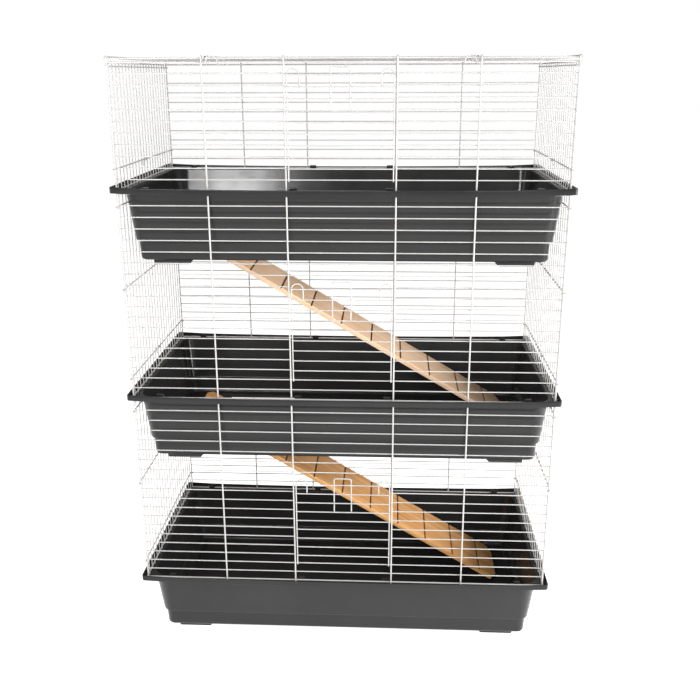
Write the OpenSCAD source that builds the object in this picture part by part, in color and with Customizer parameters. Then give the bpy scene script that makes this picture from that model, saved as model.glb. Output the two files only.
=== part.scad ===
// Three-tier wire rabbit cage: moulded trays, welded wire panels, drop-down doors,
// a lifting roof lid and two pine ramps.
// Origin: centre of the footprint, on the floor. +X is to the right, +Y is to the back, +Z is up.

/* [Overall] */
// Width over the rim of a tray
cage_w = 1000; // [900:10:1100]
// Depth over the rim of a tray
cage_d = 522; // [480:2:560]
// Height from one tray's rim to the next one's
tier_pitch = 477; // [460:1:500]
// Height from the top tray's rim to the highest wire
top_tier_h = 268; // [264:1:290]

/* [Trays] */
// Height of a tray, from its feet to its rim
tray_h = 180; // [170:1:200]
// Thickness of the moulded sheet
sheet = 2.5; // [2:0.1:3]
// Height of the lip that runs round the rim
lip_h = 13.8; // [12:0.2:16]
// Radius of the rim's corners in plan
rim_r = 7; // [5:1:24]
// Height of the feet
foot_h = 12; // [8:1:14]
// Length of a foot, along the long side
foot_len = 94; // [80:1:110]

/* [Wires] */
// Thickness of the frame wires and the uprights
frame_wire = 3.5; // [3:0.1:4]
// Thickness of the wires of the front, the back and the roof
row_wire = 2.5; // [2.2:0.1:2.8]
// Thickness of the upright wires of the sides
bar_wire = 2.2; // [2:0.1:2.5]
// Thickness of the cross wires that hook a side onto the corner uprights
hook_wire = 3.2; // [3:0.1:3.4]
// Distance between the rows of wire in the lower part of a panel
row_gap = 24.2; // [24:0.1:24.4]
// Distance between the upright wires of a side
bar_gap = 24.5; // [24:0.1:25]

/* [Doors] */
// Half the distance between the uprights beside a door
door_post_x = 117.5; // [115:0.5:120]
// Distance between the rows of wire in a door
door_gap = 23.8; // [23.4:0.1:24]
// Thickness of a door's side wires
door_wire = 2.8; // [2.6:0.1:3]

/* [Ramps] */
// Width of a ramp
ramp_w = 165; // [140:5:170]
// Thickness of a ramp's plank
ramp_t = 12; // [10:1:14]
// Slope of a ramp, in degrees
ramp_slope = 31; // [30:0.5:32]
// Number of V-shaped grooves across a ramp
groove_count = 10; // [8:1:11]

/* [Hidden] */

plastic = [0.24, 0.25, 0.26];
coating = [0.93, 0.92, 0.89];
pine = [0.86, 0.68, 0.45];

eps = 0.1;
weld = 0.4; // how far two welded wires sink into each other
past = 1.9; // how far a row runs past the middle of the wire that it is welded to
$fn = 48;

rim_z = [tray_h, tray_h + tier_pitch, tray_h + 2 * tier_pitch];
total_h = rim_z[2] + top_tier_h;

// Plan of the wire cage inside the rim
wire_in = 11;
front_y = cage_d / 2 - wire_in;
side_x = cage_w / 2 - wire_in;
post_x = side_x - 3;
mid_post_x = 288;
row_y = front_y - (frame_wire + row_wire) / 2 + weld;
frame_y = front_y - frame_wire + weld;

// Heights in a tier, above its tray's rim
channel_z = sheet - lip_h;
low_z = channel_z + frame_wire / 2 + eps;
high_z = tier_pitch - lip_h - frame_wire / 2 - 2 * eps;
low_rows = 10;
high_rows = 19;
high_gap = (high_z - low_z - low_rows * row_gap) / (high_rows - low_rows);
roof_z = total_h - 5.6;
roof_drop = 8;
roof_frame_y = front_y - frame_wire - 0.35;
top_row_z = roof_z - roof_drop - rim_z[2];

// Doors: the row that each one hinges on, and its rows
hinge_row = [2, 2, 1];
door_rows = 9;
door_h = door_rows * door_gap;
pin_gap = 0.3;
door_side_x = door_post_x - 6;
door_y = row_y + (row_wire + door_wire) / 2 + pin_gap;
door_row_y = door_y + (row_wire + door_wire) / 2 - weld;
arch_r = 13;

// Trays: inset of the wall from the rim's edge
wall_top_in = 20;
wall_low_in = 35;
step_in = 41;
base_in = 44;
step_z = -122;
base_r = 14;
body_r = 62; // distance of the corner's centre from the rim's edge
base_z = foot_h - tray_h;
floor_z = base_z + 3;

// Ramps: the edge of the opening that each one leans on, in the tier below
ramp_front_y = 10;
lean_z = tier_pitch + floor_z;
foot_x = 406;
lean_x = foot_x - (lean_z - floor_z) / tan(ramp_slope);
ramp_over = 22;
ramp_len = (lean_z - floor_z) / sin(ramp_slope) + ramp_over;
groove_pitch = 88.5;
hatch_len = 240;
hatch_margin = 6;
ramp_gap = 0.5;

function row_z(i) = i <= low_rows
    ? low_z + i * row_gap
    : low_z + low_rows * row_gap + (i - low_rows) * high_gap;

// ---- Wires ----

module wire_x(x0, x1, y, z, d) {
    translate([x0, y, z]) rotate([0, 90, 0]) cylinder(h = x1 - x0, d = d);
}

module wire_y(x, y0, y1, z, d) {
    translate([x, y0, z]) rotate([-90, 0, 0]) cylinder(h = y1 - y0, d = d);
}

module wire_z(x, y, z0, z1, d) {
    translate([x, y, z0]) cylinder(h = z1 - z0, d = d);
}

// A bend of wire in the XY plane, from angle a0 on, with rounded ends left square
module bend(r, a0, sweep, d) {
    rotate([0, 0, a0]) rotate_extrude(angle = sweep) translate([r, 0]) circle(d = d);
}

// A bend round an axis along X: 0 degrees points to -Y, 90 degrees points up
module bend_x(x, y, z, r, a0, sweep, d) {
    translate([x, y, z]) rotate([90, 0, -90]) bend(r, a0, sweep, d);
}

// ---- Trays ----

function arc(cx, cy, r, a0, a1, n) =
    [for (i = [0 : n]) let (a = a0 + (a1 - a0) * i / n) [cx + r * cos(a), cy + r * sin(a)]];

// Section of the wall: x is the inset from the rim's edge, y is the height from the rim
module wall_section() {
    foot_in = base_in + base_r;
    bend_z = base_z + base_r;
    outer = concat(
        [[wall_top_in, channel_z - eps], [wall_low_in, step_z], [step_in, step_z - 4]],
        arc(foot_in, bend_z, base_r, 180, 270, 5)
    );
    inner = concat(
        arc(foot_in, bend_z, base_r - sheet - 0.5, 270, 180, 5),
        [[step_in + sheet, step_z - 3], [wall_low_in + sheet, step_z + 1]],
        [[wall_top_in + sheet, channel_z - eps]]
    );
    polygon(concat(outer, inner));
}

module rim_plan(inset, r) {
    w = cage_w - 2 * inset;
    d = cage_d - 2 * inset;
    square([w - 2 * r, d], center = true);
    square([w, d - 2 * r], center = true);
    for (x = [-1, 1], y = [-1, 1])
        translate([x * (w / 2 - r), y * (d / 2 - r)]) circle(r);
}

module tray_wall() {
    long = cage_w - 2 * body_r;
    short = cage_d - 2 * body_r;
    for (s = [0, 180]) {
        rotate([0, 0, s]) translate([-long / 2, -cage_d / 2, 0])
            rotate([90, 0, 90]) linear_extrude(long) wall_section();
        rotate([0, 0, s]) translate([-cage_w / 2, short / 2, 0])
            rotate([90, 0, 0]) linear_extrude(short) wall_section();
    }
    for (mx = [0, 1], my = [0, 1])
        mirror([mx, 0, 0]) mirror([0, my, 0]) translate([long / 2, short / 2, 0])
            rotate_extrude(angle = 90) translate([body_r, 0]) mirror([1, 0]) wall_section();
}

module tray_rim() {
    translate([0, 0, -lip_h]) linear_extrude(sheet) difference() {
        rim_plan(0, rim_r);
        rim_plan(wall_top_in + sheet, body_r - wall_top_in - sheet);
    }
    translate([0, 0, -lip_h]) linear_extrude(lip_h) difference() {
        rim_plan(0, rim_r);
        rim_plan(sheet, rim_r - sheet);
    }
}

// The tabs that snap over the frame wire in the channel
module rim_tabs() {
    tab_w = 16;
    for (x = [-425, -103, 103, 425], side = [0, 1])
        mirror([0, side, 0]) translate([x - tab_w / 2, -cage_d / 2, 0]) {
            translate([0, 17, -lip_h]) cube([tab_w, 4, lip_h - 2]);
            translate([0, 12, -5.4]) cube([tab_w, 7, 3.4]);
        }
}

module tray_feet() {
    foot_w = 20;
    slope = 12;
    foot_x0 = 336;
    foot_y = cage_d / 2 - base_in - base_r;
    for (mx = [0, 1], my = [0, 1]) mirror([mx, 0, 0]) mirror([0, my, 0])
        translate([foot_x0, foot_y, 0]) rotate([90, 0, 0])
            linear_extrude(foot_w) polygon([
                [0, base_z + sheet], [slope, -tray_h],
                [foot_len - slope / 3, -tray_h], [foot_len, base_z + sheet]
            ]);
}

module tray(tier, hatch) {
    inner_in = base_in + base_r - 4;
    color(plastic) translate([0, 0, rim_z[tier]]) difference() {
        union() {
            tray_wall();
            tray_rim();
            rim_tabs();
            translate([0, 0, base_z]) linear_extrude(3)
                rim_plan(inner_in, body_r - inner_in);
            tray_feet();
        }
        if (hatch)
            translate([lean_x, ramp_front_y - hatch_margin, -tray_h - 1])
                cube([hatch_len, ramp_w + 2 * hatch_margin, tray_h + floor_z + 20]);
    }
}

// ---- Front and back panels ----

function panel_rows(tier) = tier < 2
    ? [for (i = [1 : high_rows - 1]) row_z(i)]
    : [for (i = [1 : low_rows]) row_z(i)];

function panel_top(tier) = tier < 2 ? high_z : top_row_z;

// A row of wires from x0 to x1, with the frame wires where they are asked for
module panel_grid(tier, x0, x1, z_from, z_to) {
    for (z = panel_rows(tier)) if (z > z_from && z < z_to)
        wire_x(x0, x1, -row_y, z, row_wire);
    if (z_from < low_z) wire_x(x0, x1, -frame_y, low_z, frame_wire);
    if (z_to > panel_top(tier)) wire_x(x0, x1, -frame_y, panel_top(tier), frame_wire);
}

// An upright; on the top tier its end is bent over the roof's frame
module upright(tier, x, eye) {
    z1 = panel_top(tier) + (eye ? roof_drop : frame_wire / 2);
    wire_z(x, -front_y, low_z - frame_wire / 2, z1, frame_wire);
    if (eye)
        bend_x(x, -roof_frame_y, roof_z - rim_z[2], front_y - roof_frame_y, 0, 200, frame_wire);
}

module front_panel(tier) {
    hinge_z = row_z(hinge_row[tier]);
    way_top = hinge_z + door_h + 10;
    cut = door_post_x - 0.6;
    color(coating) translate([0, 0, rim_z[tier]]) {
        for (s = [-1, 1]) {
            x0 = s < 0 ? -post_x : cut;
            x1 = s < 0 ? -cut : post_x;
            panel_grid(tier, x0, x1, -50, 500);
            upright(tier, s * door_post_x, tier == 2);
            upright(tier, s * mid_post_x, tier == 2);
            upright(tier, s * post_x, tier == 2);
        }
        inner = cut - 0.8;
        panel_grid(tier, -inner, inner, -50, hinge_z + 1);
        panel_grid(tier, -inner, inner, way_top, 500);
    }
}

module back_panel(tier) {
    color(coating) mirror([0, 1, 0]) translate([0, 0, rim_z[tier]]) {
        panel_grid(tier, -post_x, post_x, -50, 500);
        for (x = [-post_x, -mid_post_x, -door_post_x, door_post_x, mid_post_x, post_x])
            upright(tier, x, tier == 2);
    }
}

// ---- Side panels ----

side_levels = [[35.5, 247, 432], [35.5, 247, 432], [35.5, 247]];
hook_gap = 0.25;
hook_r = (frame_wire + hook_wire) / 2 + hook_gap;
hook_x = post_x + hook_r;
bar_x = hook_x - (hook_wire + bar_wire) / 2 + weld;
side_frame_x = bar_x + (frame_wire + bar_wire) / 2 - weld;
bar_count = 20;

module left_panel(tier) {
    frame_half = front_y - 6;
    top = panel_top(tier);
    bar_y0 = -(bar_count - 1) * bar_gap / 2;
    color(coating) translate([0, 0, rim_z[tier]]) {
        for (i = [0 : bar_count - 1])
            wire_z(-bar_x, bar_y0 + i * bar_gap, low_z - frame_wire / 2, top + 1, bar_wire);
        for (z = [low_z, top])
            wire_y(-side_frame_x, -frame_half, frame_half, z, frame_wire);
        for (z = side_levels[tier]) {
            wire_y(-hook_x, -front_y, front_y, z, hook_wire);
            for (my = [0, 1]) mirror([0, my, 0]) translate([-post_x, -front_y, z])
                bend(hook_r, 180, 190, hook_wire);
        }
    }
}

module right_panel(tier) {
    mirror([1, 0, 0]) left_panel(tier);
}

// ---- Side clips: a small wire bail that hangs on the lowest cross wire ----

clip_wire = 1.8;
clip_half = 8;
clip_r = (hook_wire + clip_wire) / 2 + pin_gap;
clip_drop = 6;

module left_clip(tier) {
    color(coating) translate([-hook_x, 0, rim_z[tier] + side_levels[tier][0]]) {
        for (y = [-clip_half, clip_half]) {
            translate([0, y, 0]) rotate([90, 0, 0]) bend(clip_r, -70, 250, clip_wire);
            wire_z(-clip_r, y, -clip_drop, 0, clip_wire);
        }
        translate([-clip_r, 0, -clip_drop]) rotate([90, 0, 90])
            bend(clip_half, 175, 190, clip_wire + eps);
    }
}

module right_clip(tier) {
    mirror([1, 0, 0]) left_clip(tier);
}

// ---- Doors ----

module door(tier) {
    eye_r = (row_wire + door_wire) / 2 + pin_gap;
    arch_z = door_h - 1;
    tail_x = door_side_x - 2 * arch_r;
    color(coating) translate([0, 0, rim_z[tier] + row_z(hinge_row[tier])]) {
        for (i = [1 : door_rows])
            wire_x(-door_side_x - past, door_side_x + past, -door_row_y, i * door_gap, row_wire);
        for (mx = [0, 1]) mirror([mx, 0, 0]) {
            wire_z(door_side_x, -door_y, 0, arch_z, door_wire);
            bend_x(door_side_x, -row_y, 0, eye_r, -290, 290, door_wire);
            translate([door_side_x - arch_r, -door_y, arch_z]) rotate([90, 0, 0])
                bend(arch_r, 0, 180, door_wire);
            wire_z(tail_x, -door_y, arch_z - door_gap - 1, arch_z, door_wire);
        }
    }
}

// The staple that the door is pulled by, welded behind its upper rows
module door_handle(tier) {
    half_w = 20.5;
    bend_r = 5;
    top = door_h + 16;
    low = door_h - 3 * door_gap - 2;
    color(coating) translate([0, -door_y, rim_z[tier] + row_z(hinge_row[tier])]) {
        wire_x(-half_w + bend_r, half_w - bend_r, 0, top, door_wire);
        for (mx = [0, 1]) mirror([mx, 0, 0]) {
            wire_z(half_w, 0, low, top - bend_r, door_wire);
            translate([half_w - bend_r, 0, top - bend_r]) rotate([90, 0, 0])
                bend(bend_r, 0, 90, door_wire);
        }
    }
}

// ---- Roof ----

lid_wire = 3;
lid_side_x = 276;
cross_x = 283;
roof_side_x = 490;
roof_row_gap = 25;
roof_rows = 19;
cross_z = roof_z + frame_wire - weld;
lid_side_z = roof_z + (frame_wire + lid_wire) / 2 + pin_gap;
lid_front_y = -236;

module roof_rows_between(x0, x1, z) {
    for (i = [0 : roof_rows - 1])
        wire_x(x0, x1, (i - (roof_rows - 1) / 2) * roof_row_gap, z, row_wire);
}

module roof_panel() {
    row_z = cross_z - (frame_wire + row_wire) / 2 + weld;
    cross_half = roof_frame_y + 2;
    color(coating) {
        for (mx = [0, 1]) mirror([mx, 0, 0]) {
            roof_rows_between(cross_x - past, roof_side_x + past, row_z);
            for (x = [cross_x, roof_side_x])
                wire_y(x, -cross_half, cross_half, cross_z, frame_wire);
            for (y = [-roof_frame_y, roof_frame_y])
                wire_x(cross_x - past, roof_side_x + past, y, roof_z, frame_wire);
        }
        for (y = [-roof_frame_y, roof_frame_y])
            wire_x(-cross_x + 2.6, cross_x - 2.6, y, roof_z, frame_wire);
    }
}

module roof_lid() {
    hook_y = roof_frame_y + lid_side_z - roof_z;
    front_z = lid_side_z - lid_wire + weld;
    row_z = lid_side_z - (lid_wire + row_wire) / 2 + weld;
    color(coating) {
        roof_rows_between(-lid_side_x - past, lid_side_x + past, row_z);
        wire_x(-lid_side_x - past, lid_side_x + past, lid_front_y, front_z, lid_wire);
        for (x = [-lid_side_x, lid_side_x]) {
            wire_y(x, -roof_frame_y - 1, hook_y + lid_wire / 2, lid_side_z, lid_wire);
            wire_z(x, hook_y, roof_z - 3, lid_side_z + eps, lid_wire - 2 * eps);
        }
    }
}

// An arch of spring wire that turns on the top wire of the front panel
latch_wire = 2;
latch_x = 266;
latch_half = 12;
latch_eye = (frame_wire + latch_wire) / 2 + pin_gap;

module roof_latch(x) {
    color(coating) translate([x, -frame_y, rim_z[2] + top_row_z]) {
        for (s = [-latch_half, latch_half])
            bend_x(s, 0, 0, latch_eye, -250, 250, latch_wire);
        translate([0, -latch_eye, 0]) rotate([90, 0, 0])
            for (a = [0, 90]) bend(latch_half, a, 90, latch_wire);
    }
}

// ---- Ramps ----

module ramp_section() {
    groove_w = 4.6;
    groove_d = 3.4;
    difference() {
        square([ramp_len, ramp_t]);
        for (i = [0 : groove_count - 1])
            translate([57 + i * groove_pitch, ramp_t])
                polygon([[-groove_w / 2, 0], [0, -groove_d], [groove_w / 2, 0], [0, 1]]);
    }
}

module ramp(tier) {
    cut_x = 14;
    cut_y = 26;
    color(pine) translate([foot_x, ramp_front_y, rim_z[tier] + floor_z])
        rotate([0, ramp_slope, 0]) rotate([90, 0, 180]) translate([0, ramp_gap, 0])
            intersection() {
                linear_extrude(ramp_w) ramp_section();
                translate([0, ramp_t + 1, 0]) rotate([90, 0, 0])
                    linear_extrude(ramp_t + 2) polygon([
                        [0, cut_y], [cut_x, 0], [ramp_len - cut_x, 0], [ramp_len, cut_y],
                        [ramp_len, ramp_w - cut_y], [ramp_len - cut_x, ramp_w],
                        [cut_x, ramp_w], [0, ramp_w - cut_y]
                    ]);
            }
}

tray(0, false);  // tray_1
tray(1, true);  // tray_2
tray(2, true);  // tray_3
front_panel(0);  // front_panel_1
front_panel(1);  // front_panel_2
front_panel(2);  // front_panel_3
back_panel(0);  // back_panel_1
back_panel(1);  // back_panel_2
back_panel(2);  // back_panel_3
left_panel(0);  // left_panel_1
left_panel(1);  // left_panel_2
left_panel(2);  // left_panel_3
right_panel(0);  // right_panel_1
right_panel(1);  // right_panel_2
right_panel(2);  // right_panel_3
door(0);  // door_1
door(1);  // door_2
door(2);  // door_3
door_handle(0);  // door_handle_1
door_handle(1);  // door_handle_2
door_handle(2);  // door_handle_3
left_clip(0);  // left_clip_1
left_clip(1);  // left_clip_2
left_clip(2);  // left_clip_3
right_clip(0);  // right_clip_1
right_clip(1);  // right_clip_2
right_clip(2);  // right_clip_3
roof_panel();
roof_lid();
roof_latch(-latch_x);  // roof_latch_left
roof_latch(latch_x);  // roof_latch_right
ramp(0);  // ramp_1
ramp(1);  // ramp_2
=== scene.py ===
"""Looks for the three-storey wire rabbit cage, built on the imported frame. Metres, +Z up, front at -Y."""
import math

import bmesh
import bpy
from mathutils import Matrix, Vector


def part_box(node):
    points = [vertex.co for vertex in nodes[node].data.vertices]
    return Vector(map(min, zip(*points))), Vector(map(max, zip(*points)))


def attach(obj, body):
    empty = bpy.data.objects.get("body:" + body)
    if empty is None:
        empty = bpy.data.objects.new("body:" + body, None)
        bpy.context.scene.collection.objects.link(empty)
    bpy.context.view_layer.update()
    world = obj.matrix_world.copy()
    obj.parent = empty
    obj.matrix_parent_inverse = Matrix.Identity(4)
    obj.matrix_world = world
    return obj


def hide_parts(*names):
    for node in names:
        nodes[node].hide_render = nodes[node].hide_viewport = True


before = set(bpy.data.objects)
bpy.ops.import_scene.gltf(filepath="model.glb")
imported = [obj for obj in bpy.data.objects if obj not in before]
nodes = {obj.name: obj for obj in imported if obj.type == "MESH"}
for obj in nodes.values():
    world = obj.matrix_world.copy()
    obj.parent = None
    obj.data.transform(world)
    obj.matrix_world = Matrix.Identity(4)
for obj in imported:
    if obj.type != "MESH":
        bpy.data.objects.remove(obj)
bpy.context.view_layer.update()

scene = bpy.context.scene

# ---------------------------------------------------------------- measures
# Trays. Insets run inwards from the rim's edge, heights are from the rim's top.
W, D = 1.000, 0.522
SHEET = 0.0025
UNDERSIDE, FLOOR = -0.168, -0.165
# Corner radii in plan: RIM_R at the rim, WALL_R where the wall starts, then BODY_R less the inset, or MIN_R
RIM_R = 0.007
WALL_IN, WALL_R = 0.020, 0.042
BODY_R, MIN_R = 0.062, 0.003
# The sheet's section, from the underside out to the rim and back in to the floor: inset, height, radius
SECTION = (
    (0.0580, UNDERSIDE, 0), (0.0440, UNDERSIDE, 0.016), (0.0415, -0.1265, 0.0015), (0.0352, -0.1225, 0.003),
    (0.0200, -0.0138, 0.0035), (0.0000, -0.0138, 0.0012), (0.0000, 0.0, 0.0011), (0.0025, 0.0, 0.0011),
    (0.0025, -0.0113, 0.0015), (0.0225, -0.0113, 0.0035), (0.0378, -0.1225, 0.003),
    (0.0440, -0.1275, 0.0015), (0.0465, FLOOR, 0.0135), (0.0580, FLOOR, 0))
LIP_H = 0.0095
LIP_SAG, LIP_DROP = 0.0042, 0.0022  # how far the long lips hang: as an arc, and all along
HATCH = ((-0.38787, 0.004), (-0.14787, 0.181))  # its front left and back right corners
# The feet's and the tabs' outlines: distance from the middle or inset, and height
FOOT = ((0.336, -0.1665), (0.348, -0.18), (0.426, -0.18), (0.430, -0.1665))
FOOT_Y, FOOT_W, FOOT_BEVEL = 0.203, 0.020, 0.0012
TAB = ((0.0170, -0.0130), (0.0205, -0.0130), (0.0205, -0.0022),
       (0.0125, -0.0022), (0.0125, -0.0052), (0.0170, -0.0052))
TAB_X = (-0.425, -0.103, 0.103, 0.425)
TAB_W, TAB_BEVEL = 0.016, 0.0007

# Ramps
SLOPE = math.radians(31)
PLANK_T = 0.012
PLANK_FOOT_X, PLANK_GAP = 0.406, 0.0005  # the lower end, and its clearance above the tray's floor
PLANK_BEVEL = 0.0007
GROOVE_FROM, GROOVE_TO = 0.0075, PLANK_T - 0.00025  # the grooves' faces lie between these, from the underside

# How finely the curves are divided, and below how many degrees an edge is shaded smooth
FILLET_STEP = 0.35
CORNER_SEGS, SIDE_SEGS = 10, 16
TRAY_SMOOTH, PLANK_SMOOTH = 38, 32

# ---------------------------------------------------------------- camera
# In front of the cage, a little to the right of its middle, looking slightly down
EYE = (0.10666, -2.12270, 1.36422)
YAW, PITCH, ROLL = math.radians(-2.701), math.radians(17.587), math.radians(-0.152)
LENS, SENSOR, CLIP_END = 44.76, 36, 50

forward = Vector((math.sin(YAW) * math.cos(PITCH), math.cos(YAW) * math.cos(PITCH), -math.sin(PITCH)))
right = Vector((math.cos(YAW), -math.sin(YAW), 0))
up = right.cross(forward)
rolled_right = right * math.cos(ROLL) + up * math.sin(ROLL)
rolled_up = up * math.cos(ROLL) - right * math.sin(ROLL)
cam_data = bpy.data.cameras.new("camera")
cam_data.sensor_width = SENSOR
cam_data.lens = LENS
cam_data.clip_end = CLIP_END
cam = bpy.data.objects.new("camera", cam_data)
scene.collection.objects.link(cam)
turn = Matrix((rolled_right, rolled_up, -forward)).transposed().to_4x4()
cam.matrix_world = Matrix.Translation(EYE) @ turn
scene.camera = cam


# ---------------------------------------------------------------- materials
class Mat:
    """A node material with short ways to add and join nodes."""

    def __init__(self, name):
        self.mat = bpy.data.materials.new(name)
        self.mat.use_nodes = True
        self.tree = self.mat.node_tree
        self.bsdf = self.tree.nodes["Principled BSDF"]

    def node(self, kind, **values):
        n = self.tree.nodes.new(kind)
        for key, value in values.items():
            if key in n.inputs:
                n.inputs[key].default_value = value
            else:
                setattr(n, key, value)
        return n

    def link(self, a, b):
        self.tree.links.new(a, b)

    def coords(self, turn=(0, 0, 0)):
        m = self.node("ShaderNodeMapping", Rotation=turn)
        self.link(self.node("ShaderNodeTexCoord").outputs["Object"], m.inputs["Vector"])
        return m.outputs["Vector"]

    def stretch(self, at, factors):
        n = self.node("ShaderNodeVectorMath", operation="MULTIPLY")
        self.link(at, n.inputs[0])
        n.inputs[1].default_value = factors
        return n.outputs[0]

    def noise(self, scale, detail, rough=0.5, at=None, distortion=0.0):
        n = self.node("ShaderNodeTexNoise", Scale=scale, Detail=detail, Roughness=rough,
                      Distortion=distortion)
        self.link(at or self.coords(), n.inputs["Vector"])
        return n.outputs["Fac"]

    def ramp(self, fac, *stops):
        """Blends between two stops, each a position with a colour or a grey."""
        n = self.node("ShaderNodeValToRGB")
        for e, (pos, colour) in zip(n.color_ramp.elements, stops):
            e.position = pos
            e.color = (*colour, 1) if isinstance(colour, tuple) else (colour, colour, colour, 1)
        self.link(fac, n.inputs["Fac"])
        return n.outputs["Color"]

    def put(self, sock, value):
        """Sets a socket to a number or a colour, or links an output to it."""
        if isinstance(value, (int, float)):
            sock.default_value = value
        elif isinstance(value, tuple):
            sock.default_value = (*value, 1)
        else:
            self.link(value, sock)

    def mix(self, fac, a, b):
        n = self.node("ShaderNodeMix", data_type="RGBA")
        for sock, value in ((n.inputs[0], fac), (n.inputs[6], a), (n.inputs[7], b)):
            self.put(sock, value)
        return n.outputs[2]

    def times(self, a, b):
        n = self.node("ShaderNodeMath", operation="MULTIPLY")
        for sock, value in zip(n.inputs, (a, b)):
            self.put(sock, value)
        return n.outputs[0]

    def bump(self, height, strength, distance, normal=None):
        n = self.node("ShaderNodeBump", Strength=strength, Distance=distance)
        self.link(height, n.inputs["Height"])
        if normal is not None:
            self.link(normal, n.inputs["Normal"])
        return n.outputs["Normal"]

    def set(self, **values):
        for key, value in values.items():
            self.put(self.bsdf.inputs[key.replace("_", " ")], value)
        return self.mat


def edge_wear(m, low, high):
    """A factor that is 1 on sharp outer edges, from the surface's pointiness."""
    geo = m.node("ShaderNodeNewGeometry")
    return m.ramp(geo.outputs["Pointiness"], (low, 0.0), (high, 1.0))


def plastic():
    """Near-black moulded plastic, a little worn on its edges, with soft cloudy variation."""
    m = Mat("moulded_plastic")
    fine = m.noise(900, 2)
    peel = m.noise(160, 3, 0.6)
    cloud = m.noise(7, 5, 0.6)
    swirl = m.noise(3.2, 3)
    base = m.ramp(cloud, (0.3, (0.0165, 0.0165, 0.017)), (0.7, (0.022, 0.022, 0.0225)))
    worn = m.mix(m.times(edge_wear(m, 0.53, 0.66), 0.3), base, (0.07, 0.07, 0.071))
    rough = m.mix(m.ramp(cloud, (0.35, 0.0), (0.7, 1.0)), (0.16, 0.16, 0.16), (0.24, 0.24, 0.24))
    normal = m.bump(swirl, 0.25, 0.010, m.bump(fine, 0.10, 0.0002, m.bump(peel, 0.10, 0.0004)))
    return m.set(Base_Color=worn, Roughness=rough, Normal=normal, Specular_IOR_Level=0.24)


def coating():
    """Off-white powder coat on the wires."""
    m = Mat("powder_coat")
    peel = m.noise(700, 3, 0.6)
    tone = m.noise(14, 4, 0.6)
    base = m.ramp(tone, (0.3, (0.43, 0.417, 0.40)), (0.7, (0.51, 0.50, 0.485)))
    rough = m.ramp(m.noise(60, 3), (0.3, 0.3), (0.7, 0.42))
    return m.set(Base_Color=base, Roughness=rough, Normal=m.bump(peel, 0.25, 0.0003), Coat_Weight=0.2,
                 Coat_Roughness=0.2)


def wood(name, pale, warm, dark):
    """Pine with its grain along the plank, which slopes down to the right."""
    m = Mat(name)
    along = m.coords(turn=(0, -SLOPE, 0))
    warp = m.noise(2.2, 3, at=along)
    grain = m.noise(2.4, 6, 0.62, at=m.stretch(along, (1.2, 26, 26)), distortion=0.6)
    rings = m.node("ShaderNodeTexWave", wave_type="BANDS", bands_direction="Y", Scale=9.0, Distortion=5.0,
                   Detail=3.0)
    rings.inputs["Detail Scale"].default_value = 0.6
    m.link(m.stretch(along, (0.35, 3.2, 1.5)), rings.inputs["Vector"])
    base = m.mix(m.ramp(grain, (0.36, 0.0), (0.62, 1.0)), pale, warm)
    lines = m.ramp(rings.outputs["Fac"], (0.55, 0.0), (0.95, 1.0))
    base = m.mix(m.times(lines, 0.5), base, dark)
    base = m.mix(m.times(m.ramp(warp, (0.45, 0.0), (0.75, 1.0)), 0.3), base, warm)
    normal = m.bump(grain, 0.35, 0.0008)
    return m.set(Base_Color=base, Roughness=m.ramp(grain, (0.3, 0.5), (0.7, 0.68)), Normal=normal)


def painted_groove_shade():
    """Painted shade: a dark brown on the faces inside the ramps' grooves, standing in for the shadow that
    falls in them.
    """
    m = Mat("groove_painted_shade")
    tone = m.noise(120, 4, 0.6)
    base = m.ramp(tone, (0.3, (0.13, 0.05, 0.018)), (0.7, (0.24, 0.105, 0.042)))
    return m.set(Base_Color=base, Roughness=m.ramp(tone, (0.3, 0.6), (0.7, 0.8)),
                 Normal=m.bump(tone, 0.3, 0.0008))


def floor_material():
    """A floor that glows just enough to stay white under the cage."""
    m = Mat("studio_floor")
    tone = m.noise(1.5, 3)
    base = m.ramp(tone, (0.3, (0.86, 0.86, 0.86)), (0.7, (0.88, 0.88, 0.88)))
    return m.set(Base_Color=base, Roughness=m.ramp(m.noise(40, 3), (0.3, 0.55), (0.7, 0.65)),
                 Emission_Color=(1.0, 1.0, 1.0), Emission_Strength=0.86)


PLASTIC = plastic()
COATING = coating()
WOOD_LOW = wood("pine_lower", (0.86, 0.49, 0.20), (0.62, 0.295, 0.095), (0.30, 0.105, 0.03))
WOOD_HIGH = wood("pine_upper", (0.96, 0.72, 0.49), (0.84, 0.53, 0.32), (0.48, 0.24, 0.11))
# GROOVE is painted shade: the dark brown that stands in for the shadow inside the ramps' grooves
GROOVE = painted_groove_shade()


def new_object(name, bm, materials, smooth_angle=None):
    """Turns a bmesh into a shaded object. Edges that turn by more than smooth_angle degrees stay sharp."""
    mesh = bpy.data.meshes.new(name)
    bmesh.ops.recalc_face_normals(bm, faces=bm.faces)
    bm.to_mesh(mesh)
    bm.free()
    for mat in materials:
        mesh.materials.append(mat)
    obj = bpy.data.objects.new(name, mesh)
    scene.collection.objects.link(obj)
    for poly in mesh.polygons:
        poly.use_smooth = True
    if smooth_angle:
        mesh.set_sharp_from_angle(angle=math.radians(smooth_angle))
    return obj


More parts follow.
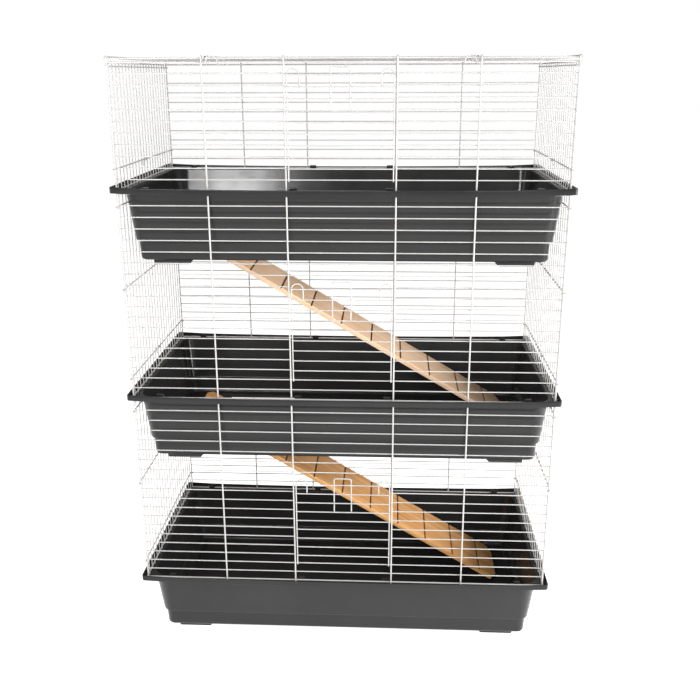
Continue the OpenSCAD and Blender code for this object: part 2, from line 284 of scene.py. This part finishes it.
# ---------------------------------------------------------------- trays
def fillet(points):
    """A polyline of (x, z, radius), with every corner rounded by its own radius."""
    out = []
    last = len(points) - 1
    for i, (x, z, r) in enumerate(points):
        if r == 0 or i in (0, last):
            out.append((x, z))
            continue
        p = Vector((x, z))
        a = Vector(points[i - 1][:2]) - p
        b = Vector(points[i + 1][:2]) - p
        turn_angle = a.angle(b)
        cut = min(r / math.tan(turn_angle / 2), a.length * 0.49, b.length * 0.49)
        rr = cut * math.tan(turn_angle / 2)
        start, end = p + a.normalized() * cut, p + b.normalized() * cut
        centre = p + (a.normalized() + b.normalized()).normalized() * (rr / math.sin(turn_angle / 2))
        n = max(2, int((math.pi - turn_angle) / FILLET_STEP))
        a0 = math.atan2(start.y - centre.y, start.x - centre.x)
        a1 = math.atan2(end.y - centre.y, end.x - centre.x)
        while a1 - a0 > math.pi:
            a1 -= 2 * math.pi
        while a1 - a0 < -math.pi:
            a1 += 2 * math.pi
        for k in range(n + 1):
            t = a0 + (a1 - a0) * k / n
            out.append((centre.x + rr * math.cos(t), centre.y + rr * math.sin(t)))
    return out


def plan_radius(inset):
    """The corner radius in plan, which grows across the rim channel and shrinks again down the wall."""
    if inset <= SHEET:
        return RIM_R - inset
    if inset <= WALL_IN:
        return RIM_R - SHEET + (inset - SHEET) * (WALL_R - RIM_R + SHEET) / (WALL_IN - SHEET)
    return max(BODY_R - inset, MIN_R)


def ring(bm, inset, z):
    """A rounded rectangle of vertices at this inset from the rim's edge."""
    r = plan_radius(inset)
    hx, hy = W / 2 - inset, D / 2 - inset
    verts = []
    for quarter, (sx, sy) in enumerate(((1, 1), (-1, 1), (-1, -1), (1, -1))):
        cx, cy = sx * (hx - r), sy * (hy - r)
        for k in range(CORNER_SEGS + 1):
            a = math.pi / 2 * (quarter + k / CORNER_SEGS)
            verts.append(bm.verts.new((cx + r * math.cos(a), cy + r * math.sin(a), z)))
        # the straight side that follows runs to the mirror image of the corner's end
        ex, ey = cx + r * math.cos(a), cy + r * math.sin(a)
        nx = (ex if quarter in (1, 3) else -ex, ey if quarter in (0, 2) else -ey)
        for k in range(1, SIDE_SEGS):
            t = k / SIDE_SEGS
            verts.append(bm.verts.new((ex + (nx[0] - ex) * t, ey + (nx[1] - ey) * t, z)))
    return verts


def sag_lip(bm, rim):
    """Lets the lips of the long sides hang a little, most of all in the middle, as thin plastic does."""
    for v in bm.verts:
        inset = D / 2 - abs(v.co.y)
        on_lip = inset < SHEET * 0.5 or (inset < SHEET * 1.02 and v.co.z > rim - LIP_H)
        if on_lip:
            along = min(abs(v.co.x) / (W / 2 - RIM_R), 1)
            v.co.z -= LIP_SAG * (1 - along ** 2) + LIP_DROP * (1 - along ** 16)


def bridge(bm, a, b):
    """Faces between two closed loops of as many vertices."""
    n = len(a)
    for i in range(n):
        j = (i + 1) % n
        bm.faces.new((a[i], a[j], b[j], b[i]))


def floor_with_hole(bm, outer, hole):
    edges = []
    for loop in (outer, hole):
        for i, v in enumerate(loop):
            w = loop[(i + 1) % len(loop)]
            edges.append(bm.edges.get((v, w)) or bm.edges.new((v, w)))
    bmesh.ops.triangle_fill(bm, use_beauty=True, use_dissolve=False, edges=edges)


def prism(bm, outline, origin, axis_u, axis_v, depth, bevel):
    """An outline in the u-v plane, extruded by depth, with its edges rounded."""
    u, v, d = Vector(axis_u), Vector(axis_v), Vector(depth)
    base = [bm.verts.new(Vector(origin) + u * a + v * b) for a, b in outline]
    top = [bm.verts.new(p.co + d) for p in base]
    faces = [bm.faces.new(base), bm.faces.new(list(reversed(top)))]
    for i in range(len(base)):
        j = (i + 1) % len(base)
        faces.append(bm.faces.new((base[i], top[i], top[j], base[j])))
    edges = list({e for f in faces for e in f.edges})
    bmesh.ops.recalc_face_normals(bm, faces=faces)
    bmesh.ops.bevel(bm, geom=edges, offset=bevel, segments=2, profile=0.6, affect="EDGES")


def tray_shell(name, rim, hatch):
    """The thin shell: its rim channel, its stepped wall and, in the upper two, the hatch in its floor."""
    bm = bmesh.new()
    rings = [ring(bm, inset, rim + z) for inset, z in fillet(SECTION)]
    for a, b in zip(rings, rings[1:]):
        bridge(bm, a, b)
    if hatch:
        (x0, y0), (x1, y1) = hatch
        loops = []
        for edge_ring, z in ((rings[0], rim + UNDERSIDE), (rings[-1], rim + FLOOR)):
            loops.append([bm.verts.new((x, y, z)) for x, y in ((x0, y0), (x1, y0), (x1, y1), (x0, y1))])
            floor_with_hole(bm, edge_ring, loops[-1])
        bridge(bm, *loops)
    else:
        bm.faces.new(rings[0])
        bm.faces.new(list(reversed(rings[-1])))
    sag_lip(bm, rim)
    return new_object(name, bm, [PLASTIC], TRAY_SMOOTH)


def feet_and_tabs(name, rim):
    """The four feet under the floor and the eight tabs that stand in the rim channel's long sides."""
    bm = bmesh.new()
    foot = [(x, rim + z) for x, z in FOOT]
    tab = [(inset, rim + z) for inset, z in TAB]
    for side in (-1, 1):
        for end in (-1, 1):
            prism(bm, foot, (0, end * FOOT_Y, 0), (side, 0, 0), (0, 0, 1), (0, -end * FOOT_W, 0), FOOT_BEVEL)
        for x in TAB_X:
            prism(bm, tab, (x - TAB_W / 2, side * D / 2, 0), (0, -side, 0), (0, 0, 1), (TAB_W, 0, 0),
                  TAB_BEVEL)
    return new_object(name, bm, [PLASTIC], TRAY_SMOOTH)


rims = [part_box(f"tray_{k}")[1][2] for k in (1, 2, 3)]
for k, rim in enumerate(rims, 1):
    shell = tray_shell(f"tray_shell_{k}", rim, None if k == 1 else HATCH)
    for piece in (shell, feet_and_tabs(f"tray_shell_{k}_feet_and_tabs", rim)):
        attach(piece, "cage")
        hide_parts(f"tray_{k}")


# ---------------------------------------------------------------- ramps
def ramp(k, wood_mat):
    """The plank with its arrises rounded and painted shade in its grooves."""
    node = nodes[f"ramp_{k}"]
    bm = bmesh.new()
    bm.from_mesh(node.data)
    bmesh.ops.remove_doubles(bm, verts=bm.verts, dist=1e-6)
    bmesh.ops.dissolve_limit(bm, angle_limit=math.radians(1), verts=bm.verts, edges=bm.edges)
    hard = [e for e in bm.edges if len(e.link_faces) == 2 and e.calc_face_angle(0) > math.radians(20)]
    bmesh.ops.bevel(bm, geom=hard, offset=PLANK_BEVEL, segments=2, profile=0.6, affect="EDGES",
                    clamp_overlap=True)
    bm.normal_update()
    foot = Vector((PLANK_FOOT_X, 0, rims[k - 1] + FLOOR))
    upright = Vector((math.sin(SLOPE), 0, math.cos(SLOPE)))
    for face in bm.faces:
        height = (face.calc_center_median() - foot).dot(upright) - PLANK_GAP
        side_on = abs(face.normal.y) > 0.5
        flat_top = face.normal.dot(upright) > 0.97
        # The faces inside the grooves take the second material, a dark brown painted shade
        in_groove = GROOVE_FROM < height < GROOVE_TO and not side_on and not flat_top
        face.material_index = 1 if in_groove else 0
    piece = new_object(f"ramp_plank_{k}", bm, [wood_mat, GROOVE], PLANK_SMOOTH)
    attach(piece, f"ramp_body_{k}")
    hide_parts(f"ramp_{k}")


ramp(1, WOOD_LOW)
ramp(2, WOOD_HIGH)

# ---------------------------------------------------------------- wires
for name, obj in nodes.items():
    if name.startswith(("tray", "ramp")):
        continue
    obj.data.materials.clear()
    obj.data.materials.append(COATING)
    for poly in obj.data.polygons:
        poly.material_index = 0


# ---------------------------------------------------------------- floor and light
def sheet(size, cells, z):
    """A square sheet of cells by cells faces, centred under the cage."""
    bm = bmesh.new()
    steps = [(i / cells - 0.5) * size for i in range(cells + 1)]
    grid = [[bm.verts.new((x, y, z)) for y in steps] for x in steps]
    for i in range(cells):
        for j in range(cells):
            bm.faces.new((grid[i][j], grid[i + 1][j], grid[i + 1][j + 1], grid[i][j + 1]))
    return bm


floor = new_object("floor", sheet(size=24, cells=24, z=-0.0005), [floor_material()])


def area_light(name, loc, target, size, power):
    data = bpy.data.lights.new(name, "AREA")
    data.shape = "RECTANGLE"
    data.size, data.size_y = size
    data.energy = power
    obj = bpy.data.objects.new(name, data)
    scene.collection.objects.link(obj)
    obj.location = loc
    obj.rotation_euler = (Vector(target) - Vector(loc)).to_track_quat("-Z", "Y").to_euler()


area_light("key", (-0.8, -2.2, 1.9), (0, 0, 0.75), (0.4, 0.4), 30)
area_light("side", (-2.1, -1.1, 1.35), (-0.4, -0.1, 0.85), (0.5, 1.5), 11)
area_light("fill", (1.6, -2.0, 1.1), (0, 0, 0.7), (0.8, 1.2), 7)
area_light("right", (2.4, -0.85, 1.0), (0, 0, 0.75), (0.8, 1.4), 85)
area_light("top", (0.1, -0.1, 3.2), (0, 0, 0.6), (1.8, 1.2), 16)
area_light("glint_left", (-0.40, -2.7, 1.62), (0, 0.2, 1.1), (0.45, 0.22), 9)
area_light("glint_right", (0.66, -2.7, 1.62), (0.3, 0.2, 1.1), (0.30, 0.22), 10)

# The camera sees a plain white sweep, while the cage is lit by a dim, slightly cool sky
world = bpy.data.worlds.new("studio")
world.use_nodes = True
wt = world.node_tree
sky = wt.nodes["Background"]
sky.inputs["Color"].default_value = (0.98, 0.985, 1, 1)
sky.inputs["Strength"].default_value = 0.20
sweep = wt.nodes.new("ShaderNodeBackground")
sweep.inputs["Color"].default_value = (1, 1, 1, 1)
sweep.inputs["Strength"].default_value = 1.0
seen = wt.nodes.new("ShaderNodeLightPath")
pick = wt.nodes.new("ShaderNodeMixShader")
wt.links.new(seen.outputs["Is Camera Ray"], pick.inputs[0])
wt.links.new(sky.outputs[0], pick.inputs[1])
wt.links.new(sweep.outputs[0], pick.inputs[2])
wt.links.new(pick.outputs[0], wt.nodes["World Output"].inputs["Surface"])
scene.world = world
scene.view_settings.view_transform = "Standard"
